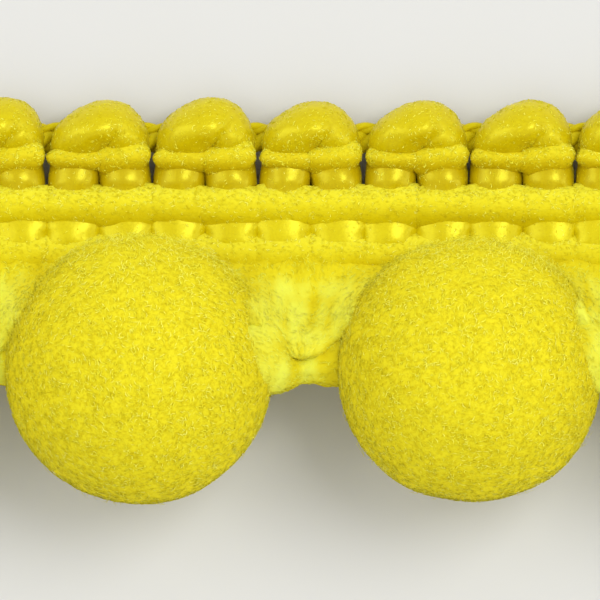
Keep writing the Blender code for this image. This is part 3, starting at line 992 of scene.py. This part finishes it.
def make_pompom(number, centre, radius, seed, felt, pile):
    """A felted core under thousands of short bent fibres."""
    rng = np.random.default_rng(seed)
    coarse, fine = rng.integers(1, 10**6, 2)
    directions, faces = ball(BALL_SUBDIVISIONS)
    reach = pile_reach(directions, radius, coarse, fine) - CORE_DEPTH
    core = directions * reach[:, None] + centre
    core[:, 2] = np.maximum(core[:, 2], 0.0)
    name = f"pompom_{number}"
    dress(f"{name}_core", core, faces, felt, (name,))
    out = pile_directions(rng)
    surface = out * (pile_reach(out, radius, coarse, fine) - ROOT_DEPTH)[:, None] + centre
    surface[:, 2] = np.maximum(surface[:, 2], 0.0)
    flow = pile_flow(out, rng)
    fluffed = unit(out + PILE_FLUFF * np.maximum(out[:, 1:2], 0) ** 2 * UP)
    tufts = []
    start = 0
    for kind, count in (("pile", PILE_FIBRES), ("stray", PILE_STRAYS), ("brushed", PILE_BRUSHED)):
        part = slice(start, start + count)
        start += count
        tufts.append(fibres((surface[part], fluffed[part], flow[part]), rng, kind))
    dress_fibres(f"{name}_pile", merged(*tufts), pile)


def hugging(rings, places):
    """How far each point of the fan's front is drawn up towards the pompoms beside it."""
    start, full, easing, end = HUG_Y
    y = rings[..., 1]
    share = np.clip((start - y) / (start - full), 0, 1) * np.clip((y - end) / (easing - end), 0, 1)
    rise = np.zeros(y.shape)
    for centre, radius, _ in places:
        section = np.sqrt(np.maximum(radius**2 - (y - centre[1]) ** 2, 0))
        top = centre[2] + math.sqrt(1 - HUG_SHARE**2) * section
        away = (np.abs(rings[..., 0] - centre[0]) - HUG_SHARE * section) / HUG_REACH
        draw = np.clip(1 - away, 0, 1) ** 2
        rise = np.maximum(rise, draw * np.maximum(top - rings[..., 2], 0))
    return rise * share * share * (3 - 2 * share)


def fan_rings(gap_x, places, rng):
    """The fan of loose strands, drawn together towards its lower lip."""
    phase = rng.uniform(0, LAST_PHASE, 2)
    row = dict(zip(FAN_COLUMNS, smooth_curve(FAN_ROWS, FAN_RINGS).T * MM))
    width = np.minimum(row["half_width"], HALF_LENGTH - abs(gap_x))
    path = np.stack((np.full(FAN_RINGS, gap_x), row["y"], row["z"]), axis=1)
    angle = np.linspace(0, 2 * math.pi, FAN_SIDES, endpoint=False)[None, :]
    down = np.linspace(0, 1, FAN_RINGS)[:, None]
    across = np.cos(angle)
    sway = STRAND_SWAY * np.sin(STRAND_TURN * down + phase[0])
    place = FAN_STRANDS * (across + 1) / 2
    strands = np.abs(np.cos(math.pi * (place + sway))) - STRAND_MEAN
    wisps = np.cos(math.pi * (WISPS_TO_A_STRAND * place + WISP_SWAY * sway) + phase[1])
    outline = np.sign(np.sin(angle)) * np.abs(np.sin(angle)) ** FAN_ROUNDNESS
    before, behind = FAN_RIDGES
    height = np.where(np.sin(angle) > 0, before, behind) * np.abs(np.sin(angle))
    begun = np.clip(RIDGE_GROWTH * down, 0, 1)
    ended = np.clip(RIDGE_END - RIDGE_SHRINKAGE * down, 0, 1)
    ridge = (strands + WISP_HEIGHT * wisps) * height * begun * ended
    rings = np.repeat(path[:, None], FAN_SIDES, axis=1)
    rings[..., 0] += width[:, None] * across
    rings[..., 2] += row["half_thickness"][:, None] * outline * (1 + ridge)
    rings[..., 2] += np.where(np.sin(angle) > 0, 1.0, HUG_BEHIND) * hugging(rings, places)
    return rings


def link_reach(side, gap_x, places):
    """How far the link goes to one side: into the next pompom, or as far as it is cut."""
    for centre, radius, _ in places:
        away = (centre[0] - gap_x) * side
        if 0 < away < POMPOM_PITCH:
            return away - LINK_END_SHARE * radius
    return STUB_REACH


def link_rings(gap, gap_x, places):
    """The roving between two pompoms, waisted where the fan holds it."""
    left = LINK_LEFT if gap > 0 else LINK_LEFT[-CUT_STUB_ROWS:]
    right = LINK_RIGHT if gap < POMPOM_COUNT else LINK_RIGHT[:CUT_STUB_ROWS]
    table = smooth_curve(left + LINK_PINCH + right, LINK_RINGS)
    row = dict(zip(LINK_COLUMNS, table.T))
    to_left = link_reach(-1, gap_x, places)
    to_right = link_reach(1, gap_x, places)
    x = gap_x + row["share"] * np.where(row["share"] < 0, to_left, to_right)
    path = np.stack((x, row["y"] * MM, row["z"] * MM), axis=1)
    high = row["half_height"] * MM
    deep = row["half_thickness"] * MM
    return sweep(path, high, deep, LINK_SIDES, wavy(LINK_WAVES), LINK_SWELL)


def painted_hanger_light(points, gap_x, seed):
    """How pale a hanger is, from 0 under the heading to 1, in streaks that run down: painted shade
    under the heading and at the lower right, a painted highlight elsewhere.
    """
    noise = soft_noise(points * STREAK_STRETCH, np.random.default_rng(seed), STREAK_PITCH)
    below = np.interp(-points[:, 1], [-y for y in HANGER_PAINTED_SHADE_Y], (0, 1))
    low = np.interp(-points[:, 1], [-y for y in SHADED_Y], (0, 1))
    right = np.interp(points[:, 0] - gap_x, SHADED_X, (0, 1))
    pale = np.clip(HANGER_PAINTED_PALE + STREAK_DEPTH * noise, 0, 1)
    return below * pale * (1 - SHADED_SHARE * low * right)


def combed(middle, at):
    """How thickly fibres lie on a hanger: fewer behind, but for its part at the heading."""
    return np.where((at[:, 2] > middle) | (at[:, 1] > ROVING_BEHIND_Y), 1.0, ROVING_BEHIND)


def make_hanger(gap, places, felt, fuzz):
    """One fan and its link, of brushed yarn."""
    rng = np.random.default_rng(HANGER_SEED + gap)
    gap_x = (gap - POMPOM_COUNT / 2) * POMPOM_PITCH + FAN_LEAN
    name = f"hanger_{gap + 1}"
    parts = (
        ("fan", fan_rings(gap_x, places, rng), FAN_FIBRES),
        ("link", link_rings(gap, gap_x, places), LINK_FIBRES),
    )
    for part, rings, count in parts:
        skin = Skin()
        skin.add(rings)
        points, faces, lay, _ = skin.arrays()
        faces = outward(points, faces)
        points = softened(points, faces, rng, "roving")
        seed = rng.integers(1, 10**6)
        # The tint paints shade under the heading and at the lower right, and light on the rest.
        tint = painted_hanger_light(points, gap_x, seed)
        dress(f"{name}_{part}", points, faces, felt, (name,), tint=tint)
        keep = partial(combed, points[:, 2].mean())
        position, normal, along = scatter(points, faces, lay, count, rng, keep)
        fluffed = unit(normal + ROVING_FLUFF * np.maximum(normal[:, 2:], 0) * UP)
        ends, slivers, own, normals = fibres((position, fluffed, along), rng, "roving")
        # The fibres take their own tint and the same painted light and shade.
        pale = np.clip(OWN_TINT * own + FELT_TINT * painted_hanger_light(ends, gap_x, seed), 0, 1)
        dress_fibres(f"{name}_{part}_fibres", (ends, slivers, pale, normals), fuzz)


def make_floor():
    """A square of paper under the trim."""
    corners = ((-1, -1, 0), (1, -1, 0), (1, 1, 0), (-1, 1, 0))
    faces = np.array(((0, 1, 2), (0, 2, 3)))
    floor = make_object("floor", np.array(corners) * FLOOR_HALF, faces, floor_material())


def add_light(name, location, size, power):
    """A square soft light aimed at the middle of the photograph's frame."""
    data = bpy.data.lights.new(name, "AREA")
    data.size = size
    data.energy = power
    light = bpy.data.objects.new(name, data)
    light.location = location
    away = np.array(location) - np.array(PHOTO_CENTRE)
    yaw = math.atan2(away[1], away[0])
    tip = math.atan2(math.hypot(away[0], away[1]), away[2])
    light.rotation_euler = (0.0, tip, yaw)
    bpy.context.scene.collection.objects.link(light)


def make_lights():
    """The soft lights and the white surrounding."""
    for light in named(LIGHT_COLUMNS, LIGHTS):
        add_light(**light)
    world = bpy.data.worlds.new("studio")
    world.use_nodes = True
    background = world.node_tree.nodes["Background"]
    background.inputs["Color"].default_value = (1.0, 1.0, 1.0, 1.0)
    background.inputs["Strength"].default_value = WORLD_STRENGTH
    bpy.context.scene.world = world


def make_camera():
    """Straight over the trim, from far enough to see it nearly without perspective."""
    data = bpy.data.cameras.new("camera")
    data.lens = LENS
    data.sensor_width = SENSOR
    data.clip_start = CLIP_START
    camera = bpy.data.objects.new("camera", data)
    x, y, z = PHOTO_CENTRE
    camera.location = (x, y, z + PHOTO_WIDTH * LENS / SENSOR)
    bpy.context.scene.collection.objects.link(camera)
    bpy.context.scene.camera = camera


def main():
    """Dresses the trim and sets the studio."""
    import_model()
    bpy.context.scene.view_settings.view_transform = "Standard"
    yarns = {name: yarn_material(f"{name}_yarn", look) for name, look in YARNS.items()}
    felts = {name: felt_material(name, *look) for name, look in FELTS.items()}
    fuzz = {name: fibre_material(name, stops) for name, stops in FUZZ.items()}
    make_wefts(yarns["weft"], fuzz["yarn_fibres"])
    make_stitches(yarns, fuzz["yarn_fibres"])
    make_threads(yarns["chain"])
    places = pompom_places()
    for number, (centre, radius, seed) in enumerate(places, start=1):
        make_pompom(number, centre, radius, seed, felts["pile_felt"], fuzz["pile_fibres"])
    for gap in range(POMPOM_COUNT + 1):
        make_hanger(gap, places, felts["loose_yarn"], fuzz["loose_fibres"])
    make_floor()
    make_lights()
    make_camera()


main()
